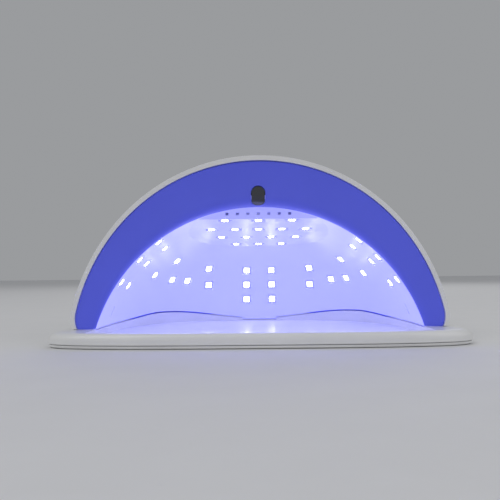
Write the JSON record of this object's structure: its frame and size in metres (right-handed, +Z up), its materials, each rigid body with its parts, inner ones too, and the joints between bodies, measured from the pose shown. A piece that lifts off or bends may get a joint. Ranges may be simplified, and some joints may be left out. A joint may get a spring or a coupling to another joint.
{
  "type": "uv curing lamp",
  "caption": "Dome-shaped tabletop UV curing lamp on a lift-off base tray, with a white reflector cavity for one hand, timer keys and a display on top",
  "frame": {"origin": "bottom centre of the box round the whole lamp, on the table under the rubber feet", "axes": "+X to the right seen from the front, +Y from the open front to the rear, +Z up"},
  "size_m": [0.232, 0.2, 0.1032],
  "materials": {
    "shell_plastic": "glossy white moulded plastic",
    "bezel_plastic": "satin white moulded plastic",
    "button_plastic": "glossy white keys",
    "tray_plastic": "satin white moulded plastic",
    "reflector_plastic": "bright white reflector",
    "led_board": "white solder mask",
    "circuit_board": "green solder mask",
    "heat_plate": "satin plate",
    "foot_rubber": "dark soft pad",
    "magnet_nickel": "bright nickel plate",
    "screw_steel": "zinc plated",
    "smoked_window": "smoked, polished",
    "black_plastic": "black moulded plastic",
    "lead_wire": "insulated wire"
  },
  "bodies": {
    "tray": {"rubber_foot_1": "foot_rubber", "rubber_foot_2": "foot_rubber", "rubber_foot_3": "foot_rubber", "rubber_foot_4": "foot_rubber", "tray_bottom_cover": "tray_plastic", "tray_magnet_1": "magnet_nickel", "tray_magnet_2": "magnet_nickel", "tray_magnet_3": "magnet_nickel", "tray_magnet_4": "magnet_nickel", "tray_screw_1": "screw_steel", "tray_screw_2": "screw_steel", "tray_screw_3": "screw_steel", "tray_screw_4": "screw_steel", "tray_top": "tray_plastic"},
    "head": {"base_frame": "bezel_plastic", "board_screw_1": "screw_steel", "board_screw_2": "screw_steel", "control_board": "circuit_board", "control_lead": "lead_wire", "dc_jack": "black_plastic", "display_module": "black_plastic", "display_window": "smoked_window", "front_bezel": "bezel_plastic", "head_magnet_1": "magnet_nickel", "head_magnet_2": "magnet_nickel", "head_magnet_3": "magnet_nickel", "head_magnet_4": "magnet_nickel", "head_screw_1": "screw_steel", "head_screw_2": "screw_steel", "head_screw_3": "screw_steel", "head_screw_4": "screw_steel", "heat_spreader": "heat_plate", "led_board_back": "led_board", "led_board_left": "led_board", "led_board_right": "led_board", "led_board_top": "led_board", "left_led_lead": "lead_wire", "main_board": "circuit_board", "outer_shell": "shell_plastic", "reflector_liner": "reflector_plastic", "right_led_lead": "lead_wire", "sensor_board": "circuit_board", "sensor_window": "smoked_window", "tact_switch_1": "black_plastic", "tact_switch_2": "black_plastic", "tact_switch_3": "black_plastic", "tact_switch_4": "black_plastic", "top_led_lead": "lead_wire"},
    "key_1": {"button_1": "button_plastic"},
    "key_2": {"button_2": "button_plastic"},
    "key_3": {"button_3": "button_plastic"},
    "key_4": {"button_4": "button_plastic"}
  },
  "joints": [
    {"name": "head_lift", "type": "slide", "parent": "tray", "child": "head", "axis": [0, 0, 1], "range_m": [0, 0.12]},
    {"name": "button_1_press", "type": "slide", "parent": "head", "child": "key_1", "axis": [0, -0.1729, -0.9849], "range_m": [0, 0.0005], "stiffness_N_per_m": 500, "springref_m": -0.001},
    {"name": "button_2_press", "type": "slide", "parent": "head", "child": "key_2", "axis": [0, -0.1729, -0.9849], "range_m": [0, 0.0005], "stiffness_N_per_m": 500, "springref_m": -0.001},
    {"name": "button_3_press", "type": "slide", "parent": "head", "child": "key_3", "axis": [0, -0.1729, -0.9849], "range_m": [0, 0.0005], "stiffness_N_per_m": 500, "springref_m": -0.001},
    {"name": "button_4_press", "type": "slide", "parent": "head", "child": "key_4", "axis": [0, -0.1729, -0.9849], "range_m": [0, 0.0005], "stiffness_N_per_m": 500, "springref_m": -0.001}
  ]
}
